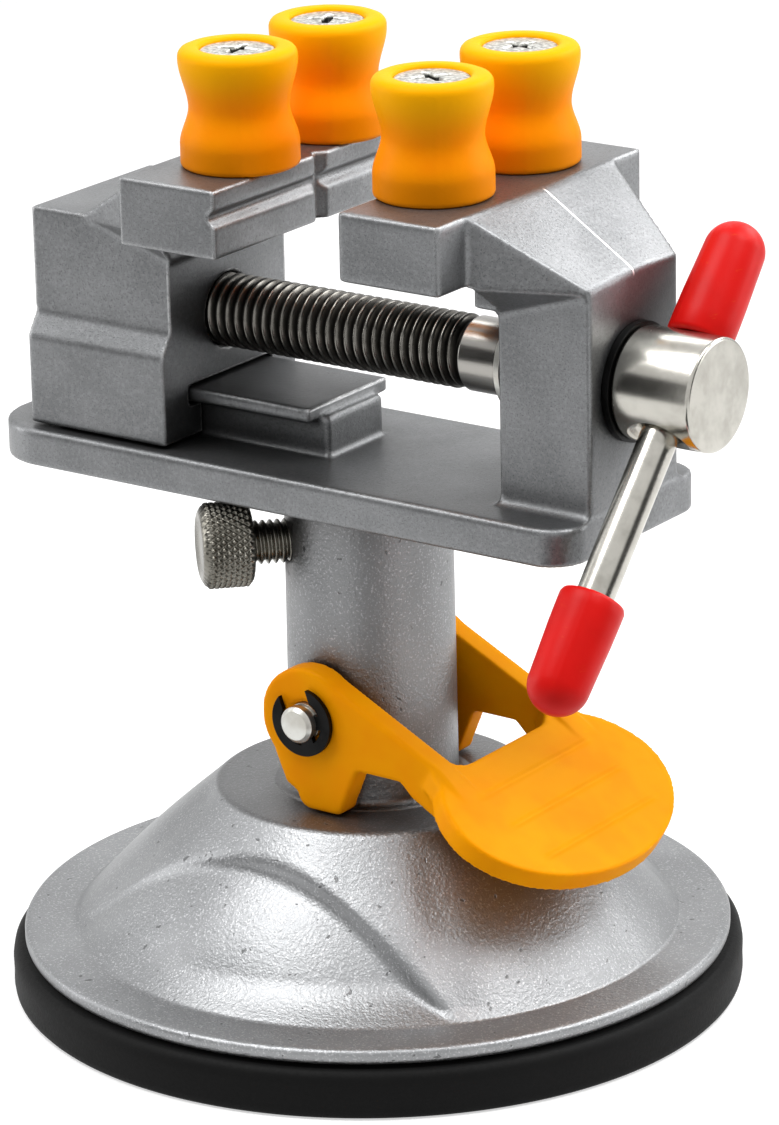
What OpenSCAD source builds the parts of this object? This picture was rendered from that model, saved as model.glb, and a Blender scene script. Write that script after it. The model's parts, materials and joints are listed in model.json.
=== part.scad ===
// Suction base vise: a small bench vise on a swivel post, held down by a lever-operated suction cup.
// Origin: middle of the rubber cup's underside. +Z up, the lead screw lies along X with its handle at +X.

/* [Suction base] */
// Radius of the rubber cup
cup_r = 50; // [46:0.5:56]
// Height of the rubber rim under the casting
cup_h = 7; // [6:0.5:8]
// Width of the rubber rim that stands on the bench
cup_foot = 6; // [4:0.5:8]
// Radius of the casting's flange
flange_r = 48.3; // [47:0.1:49]
// Thickness of the flange
flange_t = 2; // [1.8:0.1:3]
// Radius of the dome where it meets the flange
dome_r = 41.4; // [40.5:0.1:43]
// Height of the dome above the flange
dome_h = 19.4; // [18.5:0.1:21]
// Radius of the flat plateau on the dome
plateau_r = 21.3; // [21:0.1:22.5]
// Wall of the casting
wall = 3; // [2.5:0.1:3.5]
// Distance of the arch steps from the middle
arch_y = 25.2; // [24.5:0.1:26]
// Depth of the valleys between the dome's panels
valley_depth = 0.8; // [0.4:0.1:1]

/* [Post] */
// Radius of the post at its top
post_r = 11.3; // [11:0.1:11.4]
// Draft of the post, added to its radius at the foot
post_draft = 0.2; // [0:0.1:0.3]
// Height of the post above the plateau
post_h = 40.9; // [40:0.1:46]
// Fillet at the post's foot
post_fillet = 1; // [0.5:0.1:1]
// Radius of the head's spigot
spigot_r = 7; // [6.5:0.1:7.5]
// Length of the spigot in the post
spigot_l = 16; // [15:0.5:18]

/* [Pull stem and lever] */
// Radius of the pull stem
stem_r = 6; // [5.5:0.1:6.2]
// Drop of the stem when the lever is up
stem_drop = 2; // [1:0.1:2]
// Radius of the lever's axle
axle_r = 2.5; // [2:0.1:2.8]
// Height of the axle above the plateau
axle_h = 12.85; // [12.5:0.05:14]
// Half length of the axle
axle_half = 18; // [17.8:0.1:19]
// Inner face of each lever arm, from the middle
arm_in = 12; // [12:0.1:12.4]
// Thickness of each lever arm
arm_t = 3.5; // [3:0.1:3.6]
// Radius of the arm's eye
eye_r = 7.2; // [6.5:0.1:7.4]
// Thickness of the paddle
paddle_t = 3; // [2.5:0.1:3.5]
// Half width of the paddle
paddle_half = 21.4; // [20:0.1:22.5]
// Length of the paddle beyond the fork
paddle_l = 24; // [22:0.1:24.2]
// Slope of the paddle
paddle_tilt = 30; // [28:1:31]
// Outer radius of the axle's clips
clip_r = 4.7; // [4:0.1:5]

/* [Thumb screw] */
// Radius of the thumb screw's thread
lock_r = 3; // [2.5:0.1:3.2]
// Radius of its knurled head
lock_head_r = 5.8; // [5:0.1:5.9]
// Length of its knurled head
lock_head_l = 7; // [6:0.5:9]
// Length of thread left outside the post
lock_reach = 4.7; // [3:0.1:6]
// Direction of the thumb screw round the post
lock_angle = 225; // [205:5:245]

/* [Bed] */
// Distance of the bed's left end from the post's axis
bed_left = 52.5; // [52:0.1:56]
// Length of bed left beyond the fixed jaw's column
bed_lip = 0.2; // [0.1:0.1:2.5]
// Half width of the bed
bed_half = 16.9; // [16:0.1:18]
// Thickness of the bed
bed_t = 5.2; // [4.5:0.1:6]
// Corner radius at the left end
bed_left_corner = 9; // [6:0.5:12]
// Corner radius at the right end
bed_right_corner = 5; // [3:0.5:8]
// Half width of the T rail's web
rail_web = 6.3; // [5.5:0.1:6.8]
// Half width of the T rail's flange
rail_half = 9.1; // [8.5:0.1:9.6]
// Height of the web under the flange
rail_web_h = 5.1; // [4.5:0.1:5.5]
// Thickness of the flange
rail_t = 2.1; // [1.8:0.1:2.4]

/* [Jaws] */
// Height of the jaw tops above the bed
jaw_h = 39.6; // [39:0.1:42]
// Half width of the jaws
jaw_half = 23.6; // [22:0.1:26]
// Thickness of the jaw plates
jaw_t = 9.2; // [8.5:0.1:10]
// Depth of a jaw plate along the screw
jaw_depth = 15.4; // [15:0.1:16.5]
// Half width of the necks behind the jaw plates
neck_half = 16.9; // [15:0.1:18]
// Jaw gap as stored
jaw_gap = 19.5; // [18:0.1:21]
// Distance of the fixed jaw's face from the post's axis
fixed_face = 13; // [12.8:0.1:13.4]
// Half width of the fixed jaw's column
column_half = 10.5; // [10:0.1:12]
// Thickness of the column
column_t = 14; // [13.8:0.1:14.1]
// Length of the sliding body along the screw
slide_l = 22.8; // [21:0.1:24]
// Half width of the sliding body's foot
slide_foot = 15; // [14:0.1:16]
// Half width of the sliding body above its shoulder
slide_half = 13; // [12:0.1:13.5]
// Depth of the V grooves in the jaw faces
vee_depth = 1.3; // [0.8:0.1:1.6]

/* [Pegs] */
// Radius of a peg at its ends
peg_r = 7.85; // [7:0.05:8.2]
// Radius of a peg at its waist
peg_waist = 6.6; // [6.4:0.05:7]
// Height of a peg
peg_h = 15.8; // [14:0.1:18]
// Distance between the two pegs of a jaw
peg_pitch = 20; // [19:0.1:24]
// Distance of the pegs from the jaw's face
peg_back = 5.6; // [5.5:0.1:6.5]
// Radius of a peg screw's head
peg_head_r = 5.35; // [5:0.05:5.5]
// Radius of a peg screw's thread
peg_screw_r = 2; // [1.5:0.1:2.4]

/* [Lead screw and handle] */
// Radius of the lead screw
screw_r = 5; // [4.5:0.1:5.2]
// Height of the screw's axis above the bed
screw_h = 16; // [15.8:0.1:16.4]
// Radius of the handle hub
hub_r = 7.5; // [7:0.1:8]
// Length of the handle hub
hub_l = 11.7; // [11:0.1:14]
// Radius of the tommy bar
bar_r = 2.5; // [2:0.1:2.8]
// Distance from the screw's axis to the lower cap
bar_low = 30.1; // [26:0.1:34]
// Length of a cap
cap_l = 16.1; // [14:0.1:18]
// Radius of a cap
cap_r = 4.35; // [4:0.05:4.6]
// Lean of the bar from upright
bar_lean = 42; // [0:1:60]

/* [Hidden] */
$fn = 96;

// clearances
run = 0.06; // radial clearance of a shaft in its bore
slip = 0.3; // gap between sliding or touching pieces
eps = 0.01;
big = 200;

// heights
flange_top = cup_h + flange_t;
plateau_z = flange_top + dome_h;
post_top = plateau_z + post_h;
axle_z = plateau_z + axle_h;
seat_t = 0.55; // shoulder between post and bed
bed_z = post_top + seat_t;
bed_top = bed_z + bed_t;
rail_z = bed_top + rail_web_h;
screw_z = bed_top + screw_h;
jaw_z = bed_top + jaw_h;
jaw_low = jaw_z - jaw_t;
lock_z = post_top - 6.3;
spigot_z = post_top - spigot_l;

// dome
dome_angle = atan(dome_h / (dome_r - plateau_r));
panel_top_r = arch_y + 0.8; // lower arch panel where it meets the step
panel_top_z = plateau_z - 7;
panel_slope = (dome_r - panel_top_r) / (panel_top_z - flange_top);
arch_lean = 15;
dome_l = norm([dome_r - plateau_r, dome_h]);
valley_r = 8;
valley_run = 6; // overrun of a valley's cutter at the flange
valley_angles = [45, 135, 225, 315, 0, 180];

// rubber cup and stem foot
cup_rise = 5; // hollow under the cup, as pulled up by the lever
cup_edge = 1.2; // rounded upper edge of the cup
cup_thin = 1.4; // hollow beside the cup's foot
cup_flat = 10; // flat middle of the hollow
foot_z = cup_rise + 5;
foot_t = 3;
foot_r = stem_r + 2;
boss_r = foot_r + 3;
boss_top = foot_z + foot_t + 3;
stem_top = axle_z + axle_r + 3.25;
stem_bore_top = spigot_z - 1;

// lever
eye_clear = 0.3;
foot_drop = axle_h - eye_clear; // eye to the underside of the cam foot
fork_x = 21.5; // inner end of the paddle, from the axle
fork_z = -3.75;
throat_r = 4; // corners of the fork's throat
paddle_long = 14; // from the paddle's widest place to its tip
arm_out = arm_in + arm_t;
clip_t = 0.7;
clip_y = arm_out + slip;
groove_r = axle_r - 0.4;
clip_open = 250; // angle of each clip's mouth

// thumb screw
lock_dir = [cos(lock_angle), sin(lock_angle)];
groove_w = 4.6; // groove in the spigot for the thumb screw's tip
lock_groove = spigot_r - 1.4;
lock_pad_r = 1.9;
lock_pad_l = 2.3;
lock_pin_r = 1;
lock_pin_l = 2;
lock_start = lock_groove + 0.1;

// jaws
fixed_back = fixed_face + jaw_depth + 0.4;
moving_face = fixed_face - jaw_gap;
moving_back = moving_face - jaw_depth;
column_in = fixed_back - 0.5;
column_out = column_in + column_t;
bed_right = column_out + bed_lip;
corbel = jaw_low - 4.9; // where the necks start to widen
neck_drop = 9.4; // fall of the neck's back along the slope
slide_front = moving_back - 0.5;
slide_back = slide_front - slide_l;
shoulder_low = screw_z - 3.4;
shoulder_high = screw_z - 0.4;
slide_z = bed_top + slip;
rail_right = -2.9;
rail_left = slide_back - 1;

// lead screw
screw_end = slide_back + 5;
ring_x = column_in - 3.4;
ring_t = 0.8;
ring_r = screw_r + 1.5;
ring_groove = screw_r - 0.4;
washer_t = 0.9;
washer_r = hub_r + 0.4;
hub_x = column_out + 0.1 + washer_t + 0.05;
tenon_r = 3.5;
tenon_l = 2.4;
bar_x = hub_x + hub_l / 2 - 0.2;
bar_dir = [0, sin(bar_lean), cos(bar_lean)];
bar_high = hub_r + slip;
cap_deep = 11; // depth of the bar in a cap

// pegs
peg_bore = peg_screw_r + 0.1;
peg_head_t = 1.2;
peg_cone = peg_head_r - peg_screw_r - 1;
peg_grip = 7.6; // thread of a peg screw in the jaw
peg_rim = 0.7;
peg_rim_at = 0.74; // share of the half height where the rim starts

cast = [0.66, 0.67, 0.68];
painted = [0.74, 0.75, 0.76];
steel = [0.55, 0.54, 0.52];
bright = [0.85, 0.85, 0.84];
yellow = [1, 0.62, 0.03];
red = [0.9, 0.1, 0.08];
black = [0.08, 0.08, 0.08];

// an arc of points, for a profile
function arc(cx, cy, r, from, to, steps) =
    [for (i = [0 : steps]) let (a = from + (to - from) * i / steps) [cx + r * cos(a), cy + r * sin(a)]];

module ring(outer, inner, h) {
    difference() {
        cylinder(h = h, r = outer);
        translate([0, 0, -1]) cylinder(h = h + 2, r = inner);
    }
}

// puts +Z along the direction from the post to the thumb screw
module along_lock(s) {
    translate([s * lock_dir[0], s * lock_dir[1], lock_z]) rotate([0, 90, lock_angle]) children();
}

// puts +Z along the screw, at a distance along X
module along_screw(x) {
    translate([x, 0, screw_z]) rotate([0, 90, 0]) children();
}

// puts +Z along the tommy bar, measured from the screw's axis
module along_bar(s) {
    translate([bar_x, s * bar_dir[1], screw_z + s * bar_dir[2]]) rotate([-bar_lean, 0, 0]) children();
}

module suction_cup() {
    color(black) rotate_extrude() polygon(concat(
        [[0, cup_rise], [cup_flat, cup_rise], [cup_r - 1.5 * cup_foot, cup_thin], [cup_r - cup_foot, 0], [cup_r, 0]],
        arc(cup_r - cup_edge, cup_h - 0.8 - cup_edge, cup_edge, 0, 60, 4),
        [[flange_r - 0.2, cup_h - 0.5], [flange_r - 0.6, cup_h], [dome_r - 3, cup_h],
         [boss_r + 1, cup_rise + 4], [boss_r, cup_rise + 5], [boss_r, boss_top],
         [stem_r + slip, boss_top], [stem_r + slip, foot_z + foot_t + 0.1],
         [foot_r + 0.1, foot_z + foot_t + 0.1], [foot_r + 0.1, foot_z - 0.1], [0, foot_z - 0.1]]));
}

// outer form of the dome and post, with the cavity under it
module base_body() {
    rotate_extrude() polygon(concat(
        [[stem_r + run, plateau_z - wall - 0.6], [boss_r + 2, plateau_z - wall - 0.6],
         [panel_top_r - wall, panel_top_z - 1], [dome_r - wall, flange_top - 1.6], [dome_r - wall, cup_h],
         [flange_r - 0.3, cup_h], [flange_r, cup_h + 0.3], [flange_r, flange_top - 0.4],
         [flange_r - 0.4, flange_top], [dome_r, flange_top], [plateau_r, plateau_z]],
        arc(post_r + post_draft + post_fillet, plateau_z + post_fillet, post_fillet, 270, 180, 6),
        [[post_r, post_top - 0.6], [post_r - 0.6, post_top], [spigot_r + run, post_top],
         [spigot_r + run, stem_bore_top], [stem_r + run, stem_bore_top]]));
}

// one scooped valley down the dome
module valley(angle) {
    depth = (angle % 90 == 0) ? valley_depth / 2 : valley_depth;
    intersection() {
        rotate([0, 0, angle])
            translate([dome_r, 0, flange_top])
                rotate([0, dome_angle - 90, 0])
                    translate([valley_r - depth, 0, -valley_run])
                        cylinder(h = dome_l + valley_run + 1, r = valley_r, $fn = 48);
        translate([-big / 2, -big / 2, flange_top]) cube(big);
    }
}

// the arched recess on the side facing -Y
module arch() {
    difference() {
        translate([0, -arch_y, plateau_z - 4])
            rotate([-arch_lean, 0, 0])
                translate([-big / 2, -big, -big / 2]) cube(big);
        translate([-big / 2, -big / 2, flange_top - big]) cube(big);
        translate([0, 0, flange_top])
            cylinder(h = dome_h + 6, r1 = dome_r, r2 = dome_r - (dome_h + 6) * panel_slope);
    }
}

module suction_base() {
    color(painted) difference() {
        base_body();
        for (a = valley_angles) valley(a);
        for (side = [0, 180]) rotate([0, 0, side]) arch();
        // slot in which the lever's axle rises and falls
        for (z = [axle_z, axle_z - stem_drop])
            translate([0, 0, z]) rotate([90, 0, 0]) cylinder(h = 3 * post_r, r = axle_r + slip, center = true);
        translate([-axle_r - slip, -1.5 * post_r, axle_z - stem_drop])
            cube([2 * (axle_r + slip), 3 * post_r, stem_drop]);
        // threaded hole of the thumb screw
        along_lock(spigot_r / 2) cylinder(h = 2 * post_r, r = lock_r + run);
    }
}

module pull_stem() {
    color(steel) difference() {
        union() {
            translate([0, 0, foot_z]) cylinder(h = foot_t, r = foot_r);
            translate([0, 0, foot_z + eps]) cylinder(h = stem_top - foot_z - 1, r = stem_r);
            translate([0, 0, stem_top - 1]) cylinder(h = 1, r1 = stem_r, r2 = stem_r - 1);
        }
        translate([0, 0, axle_z]) rotate([90, 0, 0]) cylinder(h = big, r = axle_r + run, center = true);
    }
}

module lever_axle() {
    color(bright) translate([0, 0, axle_z]) rotate([90, 0, 0]) difference() {
        union() {
            cylinder(h = 2 * axle_half - 1, r = axle_r, center = true);
            for (s = [0, 180]) rotate([s, 0, 0])
                translate([0, 0, axle_half - 0.5]) cylinder(h = 0.5, r1 = axle_r, r2 = axle_r - 0.5);
        }
        for (s = [0, 180]) rotate([s, 0, 0])
            translate([0, 0, clip_y]) ring(axle_r + 1, groove_r, clip_t);
    }
}

// E clip in the axle's groove: open to one side, with three lugs inside
module axle_clip(side) {
    color(black) translate([0, side * clip_y, axle_z]) rotate([side * -90, 0, 0]) difference() {
        union() {
            ring(clip_r, axle_r + 0.7, clip_t);
            intersection() {
                ring(clip_r - 0.5, groove_r + 0.05, clip_t);
                for (a = [clip_open + 100, clip_open + 180, clip_open + 260])
                    rotate([0, 0, a * side]) translate([0, -1, 0]) cube([clip_r, 2, clip_t]);
            }
        }
        rotate([0, 0, clip_open * side]) translate([0, -axle_r + 0.2, -1]) cube([2 * clip_r, 2 * axle_r - 0.4, 3]);
    }
}

// side view of a lever arm: eye, cam foot below it and beam to the paddle; X right, Y up
module arm_outline() {
    heel = 2; // rounded heel of the cam foot
    toe = 1.2;
    difference() {
        union() {
            circle(r = eye_r);
            translate([0.4, heel - foot_drop]) circle(r = heel);
            translate([4.6, toe - foot_drop]) circle(r = toe);
            polygon([[-eye_r + 0.1, -0.6], [-5, -5.9], [-3.5, -9.4], [-1.5, heel - foot_drop], [0.4, -foot_drop],
                [4.6, -foot_drop], [5.8, toe - foot_drop], [8.2, -5.7], [15.2, -5.8], [17, -7.6],
                [26, -12.8], [fork_x + 6, fork_z - 6.2 * tan(paddle_tilt)],
                [fork_x - 0.5, fork_z + 1.1], [1.5, eye_r - 0.16], [0, 0]]);
        }
        circle(r = axle_r + run);
    }
}

// oval outline of the paddle in its own plane: X outwards from the fork, Y across
module paddle_outline() {
    wide = paddle_l - paddle_long;
    translate([wide, 0]) scale([paddle_long / paddle_half, 1]) circle(r = paddle_half);
    polygon([[-1.6, -arm_out], [-1.6, arm_out], [2, arm_out + 1.6], [wide, arm_out],
        [wide, -arm_out], [2, -arm_out - 1.6]]);
}

module cam_lever() {
    root = 0.2; // root of the throat, beyond the fork's start
    color(yellow) translate([0, 0, axle_z]) difference() {
        union() {
            for (s = [0, 1]) mirror([0, s, 0])
                translate([0, arm_out, 0]) rotate([90, 0, 0]) linear_extrude(arm_t) arm_outline();
            translate([fork_x, 0, fork_z]) rotate([0, paddle_tilt, 0])
                translate([0, 0, -paddle_t]) linear_extrude(paddle_t) paddle_outline();
        }
        // throat of the fork, round at its root
        translate([fork_x, 0, fork_z]) rotate([0, paddle_tilt, 0]) translate([0, 0, -big / 2]) {
            translate([root - throat_r - big, -arm_in, 0]) cube([big, 2 * arm_in, big]);
            translate([root - 2 * throat_r, throat_r - arm_in, 0])
                cube([2 * throat_r, 2 * (arm_in - throat_r), big]);
            for (s = [-1, 1])
                translate([root - throat_r, s * (arm_in - throat_r), 0]) cylinder(h = big, r = throat_r);
        }
    }
}

module lock_tip() {
    color("white") {
        along_lock(lock_start) cylinder(h = lock_pad_l, r = lock_pad_r);
        along_lock(lock_start + lock_pad_l - eps) cylinder(h = lock_pin_l, r = lock_pin_r);
    }
}

module lock_screw() {
    thread = post_r + lock_reach - lock_start - lock_pad_l;
    color(steel) along_lock(lock_start + lock_pad_l) difference() {
        union() {
            cylinder(h = thread + 1, r = lock_r);
            translate([0, 0, thread]) cylinder(h = 0.6, r1 = lock_head_r - 0.6, r2 = lock_head_r);
            translate([0, 0, thread + 0.6]) cylinder(h = lock_head_l - 1.8, r = lock_head_r);
            translate([0, 0, thread + lock_head_l - 1.2])
                cylinder(h = 1.2, r1 = lock_head_r, r2 = lock_head_r - 1.4);
        }
        translate([0, 0, -1]) cylinder(h = lock_pin_l + 1.1, r = lock_pin_r + run);
    }
}

// rounded outline of the bed, seen from above
module bed_outline() {
    hull() {
        for (s = [-1, 1]) {
            translate([bed_left_corner - bed_left, s * (bed_half - bed_left_corner)]) circle(r = bed_left_corner);
            translate([bed_right - bed_right_corner, s * (bed_half - bed_right_corner)])
                circle(r = bed_right_corner);
        }
    }
}

// a thin slice across the screw, from an outline of [Y, Z] points
module slice(x, points) {
    translate([x, 0, 0]) rotate([90, 0, 90]) linear_extrude(eps) polygon(points);
}

// tapering neck from a jaw plate's back: its sides and underside run to the far edge of what carries it
module neck(near_x, far_x, far_half) {
    far_z = jaw_z - neck_drop;
    hull() {
        slice(near_x, [[-far_half, corbel], [far_half, corbel], [neck_half, jaw_low - slip],
            [neck_half, jaw_z - 0.5], [0, jaw_z - 0.1], [-neck_half, jaw_z - 0.5], [-neck_half, jaw_low - slip]]);
        slice(far_x, [[-far_half, far_z - 0.5], [far_half, far_z - 0.5], [far_half, far_z], [0, far_z + 0.5],
            [-far_half, far_z]]);
    }
}

// jaw plate with crossed V grooves in the face that grips
module jaw_plate(face, dir) {
    difference() {
        translate([dir > 0 ? face : face - jaw_depth, -jaw_half, jaw_low]) cube([jaw_depth, 2 * jaw_half, jaw_t]);
        translate([face, 0, jaw_z - 0.41 * jaw_t]) rotate([0, 45, 0])
            cube([vee_depth * sqrt(2), 3 * jaw_half, vee_depth * sqrt(2)], center = true);
        translate([face, 0, jaw_z]) rotate([0, 0, 45])
            cube([vee_depth * sqrt(2), vee_depth * sqrt(2), 3 * jaw_t], center = true);
        for (s = [-1, 1]) translate([face + dir * peg_back, s * peg_pitch / 2, jaw_z - peg_grip - 0.3])
            cylinder(h = jaw_t, r = peg_screw_r + run);
    }
}

module vise_head() {
    color(cast) difference() {
        union() {
            translate([0, 0, bed_z]) linear_extrude(bed_t) bed_outline();
            translate([0, 0, post_top]) cylinder(h = seat_t + 1, r = post_r - 1.2);
            translate([0, 0, spigot_z]) cylinder(h = spigot_l + 1, r = spigot_r);
            translate([rail_left, -rail_web, bed_top - 1])
                cube([rail_right + 1.2 - rail_left, 2 * rail_web, rail_web_h + 1.5]);
            translate([rail_left, -rail_half, rail_z]) cube([rail_right - rail_left, 2 * rail_half, rail_t]);
            translate([column_in, -column_half, bed_top - 1])
                cube([column_t, 2 * column_half, jaw_z - neck_drop - bed_top + 0.75]);
            // foot fillets of the column, inside and at its sides
            for (s = [-1, 1]) translate([0, s * column_half, bed_top]) column_fillet(s);
            neck(fixed_back - eps, column_out - eps, column_half);
            translate([fixed_back - 4, -column_half, corbel]) cube([4.1, 2 * column_half, jaw_low - corbel + 1]);
            jaw_plate(fixed_face, 1);
            along_screw(ring_x + ring_t + 0.1) cylinder(h = 4, r = ring_r - 0.2);
        }
        along_screw(0) cylinder(h = big, r = screw_r + run);
        translate([0, 0, lock_z - groove_w / 2]) ring(spigot_r + 1, lock_groove, groove_w);
    }
}

// small straight fillet along one side of the column's foot
module column_fillet(s) {
    r = 1.6;
    difference() {
        translate([column_in, s > 0 ? -0.5 : -r, -0.5]) cube([column_t, r + 0.5, r + 0.5]);
        translate([column_in - 1, s * r, r]) rotate([0, 90, 0]) cylinder(h = column_t + 2, r = r);
    }
}

module moving_jaw() {
    color(cast) difference() {
        union() {
            translate([slide_back, 0, 0]) rotate([90, 0, 90]) linear_extrude(slide_l) polygon([
                [-slide_foot, slide_z], [slide_foot, slide_z], [slide_foot, shoulder_low],
                [slide_half, shoulder_high], [slide_half, jaw_z - neck_drop],
                [-slide_half, jaw_z - neck_drop], [-slide_half, shoulder_high], [-slide_foot, shoulder_low]]);
            neck(moving_back, slide_back + 8.9, slide_half);
            jaw_plate(moving_face, -1);
        }
        along_screw(slide_back - 1) cylinder(h = slide_l + 12, r = screw_r + run);
        // T slot that rides on the rail
        translate([slide_back - 1, -rail_web - slip, slide_z - 1])
            cube([slide_l + 2, 2 * (rail_web + slip), rail_z - slide_z + 2]);
        translate([slide_back - 1, -rail_half - slip, rail_z - slip])
            cube([slide_l + 2, 2 * (rail_half + slip), rail_t + 2 * slip]);
    }
}

module lead_screw() {
    color(steel) difference() {
        union() {
            along_screw(screw_end + 1) cylinder(h = hub_x - screw_end - 1, r = screw_r);
            along_screw(screw_end) cylinder(h = 1, r1 = screw_r - 1, r2 = screw_r);
            along_screw(hub_x - eps) cylinder(h = tenon_l, r = tenon_r);
        }
        along_screw(ring_x) ring(screw_r + 1, ring_groove, ring_t + 0.05);
    }
}

module retaining_ring() {
    color(bright) along_screw(ring_x) difference() {
        ring(ring_r, ring_groove + 0.05, ring_t);
        rotate([0, 0, 180]) translate([0, -1.2, -1]) cube([2 * ring_r, 2.4, 3]);
    }
}

module thrust_washer() {
    color(black) along_screw(column_out + 0.1) ring(washer_r, screw_r + run, washer_t);
}

module handle_hub() {
    flare = 1.3;
    color(bright) difference() {
        union() {
            along_screw(hub_x) cylinder(h = 0.5, r1 = hub_r - 0.5, r2 = hub_r);
            along_screw(hub_x + 0.5) cylinder(h = hub_l - 1.2, r = hub_r);
            along_screw(hub_x + hub_l - 0.7) cylinder(h = 0.7, r1 = hub_r, r2 = hub_r - 0.7);
        }
        along_screw(hub_x - 1) cylinder(h = tenon_l + 1.05, r = tenon_r + run / 2);
        along_bar(0) cylinder(h = big, r = bar_r + run, center = true);
        for (s = [0, 180]) along_bar(0) rotate([s, 0, 0])
            translate([0, 0, hub_r - 1.6]) cylinder(h = 2, r1 = bar_r + run, r2 = bar_r + flare);
    }
}

module tommy_bar() {
    low = bar_low + cap_deep;
    high = bar_high + cap_deep;
    color(bright) along_bar(-low) cylinder(h = low + high, r = bar_r);
}

// soft cap with a round end, open at Z = 0
module bar_cap() {
    end_r = cap_r - 0.35;
    color(red) difference() {
        rotate_extrude() polygon(concat(
            [[0, 0], [cap_r - 0.7, 0], [cap_r, 0.7], [end_r, cap_l - end_r]],
            arc(0, cap_l - end_r, end_r, 15, 90, 6)));
        translate([0, 0, -1]) cylinder(h = cap_deep + 1.02, r = bar_r + 0.02);
    }
}

module cap_upper() {
    along_bar(bar_high) bar_cap();
}

module cap_lower() {
    along_bar(-bar_low) rotate([180, 0, 0]) bar_cap();
}

module place_peg(fixed, side) {
    x = fixed ? fixed_face + peg_back : moving_face - peg_back;
    translate([x, side * peg_pitch / 2, jaw_z]) children();
}

// rise of a peg's side from its waist, t = 0, to its rim: 0 to 1 along an S
function peg_swell(t) = let (u = min(1, t / peg_rim_at)) u * u * (3 - 2 * u);

// waisted peg with a countersunk hole
module peg() {
    steps = 14;
    head_z = peg_h - 0.35 - peg_head_t;
    color(yellow) rotate_extrude() polygon(concat(
        [[peg_bore, 0], [peg_r - peg_rim, 0]],
        [for (i = [0 : steps]) let (z = peg_rim + (peg_h - 2 * peg_rim) * i / steps)
            [peg_waist + (peg_r - peg_waist) * peg_swell(abs(2 * z / peg_h - 1)), z]],
        [[peg_r - peg_rim, peg_h], [peg_head_r + 0.1, peg_h], [peg_head_r + 0.1, head_z],
         [peg_head_r - 1 + 0.1, head_z - 0.05], [peg_bore, head_z - peg_cone - 0.1]]));
}

module peg_screw() {
    head_z = peg_h - 0.35 - peg_head_t;
    color(bright) {
        translate([0, 0, head_z]) cylinder(h = peg_head_t, r = peg_head_r);
        translate([0, 0, head_z - peg_cone]) cylinder(h = peg_cone + eps, r1 = peg_screw_r, r2 = peg_head_r - 1);
        translate([0, 0, -peg_grip]) cylinder(h = peg_grip + head_z, r = peg_screw_r);
    }
}

suction_cup();
suction_base();
pull_stem();
lever_axle();
axle_clip(-1);  // axle_clip_front
axle_clip(1);  // axle_clip_back
cam_lever();
lock_tip();
lock_screw();
vise_head();
moving_jaw();
lead_screw();
retaining_ring();
thrust_washer();
handle_hub();
tommy_bar();
cap_upper();
cap_lower();
place_peg(true, -1) peg();  // peg_fixed_front
place_peg(true, 1) peg();  // peg_fixed_back
place_peg(false, -1) peg();  // peg_moving_front
place_peg(false, 1) peg();  // peg_moving_back
place_peg(true, -1) peg_screw();  // peg_screw_fixed_front
place_peg(true, 1) peg_screw();  // peg_screw_fixed_back
place_peg(false, -1) peg_screw();  // peg_screw_moving_front
place_peg(false, 1) peg_screw();  // peg_screw_moving_back
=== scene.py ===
import json
import math
import bpy
import bmesh
import numpy as np
from mathutils import Matrix, Vector


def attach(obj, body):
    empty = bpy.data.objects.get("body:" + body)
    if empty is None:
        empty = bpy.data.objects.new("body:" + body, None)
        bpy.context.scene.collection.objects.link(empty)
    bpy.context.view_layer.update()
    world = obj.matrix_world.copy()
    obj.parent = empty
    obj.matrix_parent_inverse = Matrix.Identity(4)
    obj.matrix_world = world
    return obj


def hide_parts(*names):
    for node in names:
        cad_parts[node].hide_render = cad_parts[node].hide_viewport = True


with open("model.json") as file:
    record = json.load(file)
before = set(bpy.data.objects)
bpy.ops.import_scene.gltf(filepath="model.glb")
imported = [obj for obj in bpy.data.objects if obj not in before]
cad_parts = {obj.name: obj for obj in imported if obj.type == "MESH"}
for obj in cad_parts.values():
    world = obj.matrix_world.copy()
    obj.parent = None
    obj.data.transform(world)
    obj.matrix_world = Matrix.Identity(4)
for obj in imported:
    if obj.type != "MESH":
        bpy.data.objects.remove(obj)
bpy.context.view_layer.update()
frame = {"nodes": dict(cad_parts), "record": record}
mm = 0.001
nodes = frame["nodes"]
scene = bpy.context.scene
print("stage: frame loaded,", len(nodes), "solids")


# shader maths: a wire wraps a socket, and an expression on wires adds Math nodes
class Wire:
    def __init__(self, finish, socket):
        self.finish = finish
        self.socket = socket

    def op(self, operation, *values):
        return self.finish.add("ShaderNodeMath", {"operation": operation}, list(values))

    def __add__(self, other): return self.op("ADD", self, other)
    def __radd__(self, other): return self.op("ADD", other, self)
    def __sub__(self, other): return self.op("SUBTRACT", self, other)
    def __rsub__(self, other): return self.op("SUBTRACT", other, self)
    def __mul__(self, other): return self.op("MULTIPLY", self, other)
    def __rmul__(self, other): return self.op("MULTIPLY", other, self)
    def __pow__(self, other): return self.op("POWER", self, other)
    def least(self, other): return self.op("MINIMUM", self, other)
    def most(self, other): return self.op("MAXIMUM", self, other)
    def absolute(self): return self.op("ABSOLUTE", self)

    # smooth step from 0 at low to 1 at high
    def step(self, low, high):
        smooth = {"interpolation_type": "SMOOTHSTEP"}
        return self.finish.add("ShaderNodeMapRange", smooth, [self, low, high, 0.0, 1.0])


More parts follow.
